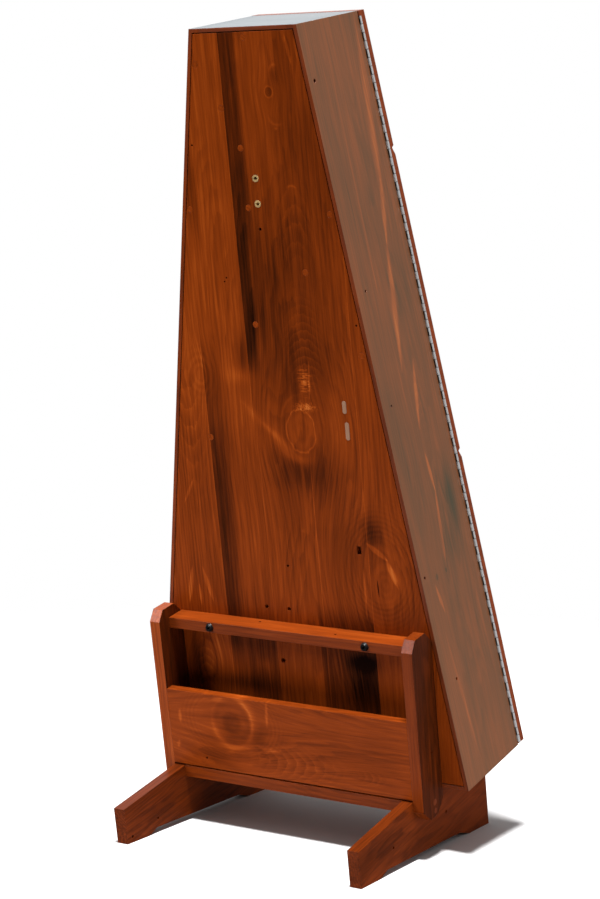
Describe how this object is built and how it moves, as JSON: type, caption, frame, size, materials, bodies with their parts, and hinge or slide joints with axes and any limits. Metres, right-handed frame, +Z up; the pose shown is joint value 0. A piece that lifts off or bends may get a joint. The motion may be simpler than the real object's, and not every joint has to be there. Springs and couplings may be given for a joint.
{
  "type": "hammered dulcimer",
  "caption": "Upright hammered dulcimer in a tall tapered pine case with a side-hinged door, leaning on a floor stand with a music pocket.",
  "frame": {"origin": "on the floor, in the middle of the object's width and depth", "axes": "+Z up; the door faces -Y and the back panel and music pocket face +Y; the hinge is on the -X side"},
  "size_m": [0.5674, 0.4532, 1.2895],
  "materials": {
    "stained_pine": "satin lacquer over red-brown stain",
    "dark_pine": "satin lacquer",
    "maple": "oiled",
    "cedar": "thin satin lacquer",
    "steel": "bright zinc",
    "brass": "bright",
    "black_steel": "black oxide",
    "black_plastic": "matte",
    "leather": "suede"
  },
  "bodies": {
    "case_and_stand": {"back_panel": "stained_pine", "hinge_side_board": "stained_pine", "latch_side_board": "stained_pine", "top_board": "stained_pine", "bottom_board": "stained_pine", "insert_brace": "stained_pine", "bolt_brace": "stained_pine", "back_inserts": "brass", "back_plugs": "dark_pine", "hinge_case_leaf": "steel", "hinge_pin": "steel", "hinge_case_screws": "steel", "catch_magnets": "black_plastic", "catch_screws": "steel", "left_foot": "stained_pine", "right_foot": "stained_pine", "left_upright": "stained_pine", "right_upright": "stained_pine", "top_rail": "stained_pine", "pocket_panel": "stained_pine", "pocket_floor": "stained_pine", "stand_bolts": "black_steel", "bolt_bushes": "brass", "stand_dowels": "maple", "stand_screws": "steel", "stand_plugs": "dark_pine", "left_pin_block": "maple", "right_pin_block": "maple", "soundboard": "cedar", "soundboard_braces": "maple", "rosettes": "dark_pine", "left_rail": "dark_pine", "right_rail": "dark_pine", "rail_rods": "brass", "treble_bridges": "dark_pine", "bass_bridges": "dark_pine", "bridge_rods": "black_plastic", "treble_strings": "steel", "bass_strings": "brass", "tuning_pins": "steel", "hitch_pins": "steel"},
    "door": {"door_lower_board": "stained_pine", "door_middle_board": "stained_pine", "door_upper_board": "stained_pine", "door_battens": "stained_pine", "batten_screws": "steel", "door_knob": "dark_pine", "knob_screw": "steel", "catch_strikes": "steel", "hinge_door_leaf": "steel", "hinge_door_screws": "steel", "tool_rack": "maple", "rack_screws": "steel"},
    "left_hammer": {"left_hammer": "maple", "hammer_pads_left": "leather"},
    "right_hammer": {"right_hammer": "maple", "hammer_pads_right": "leather"},
    "tuning_wrench": {"wrench_shaft": "steel", "wrench_handle": "dark_pine"}
  },
  "joints": [
    {"name": "door_swing", "type": "hinge", "parent": "case_and_stand", "child": "door", "pos_m": [-0.28209, -0.19604, 0.14607], "axis": [-0.1597, -0.2052, -0.9656], "range_deg": [0, 175]},
    {"name": "left_hammer_lift", "type": "slide", "parent": "door", "child": "left_hammer", "axis": [0, 0.2079, 0.9781], "range_m": [0, 0.21]},
    {"name": "right_hammer_lift", "type": "slide", "parent": "door", "child": "right_hammer", "axis": [0, 0.2079, 0.9781], "range_m": [0, 0.21]},
    {"name": "wrench_lift", "type": "slide", "parent": "door", "child": "tuning_wrench", "axis": [0, 0.2079, 0.9781], "range_m": [0, 0.05]}
  ]
}
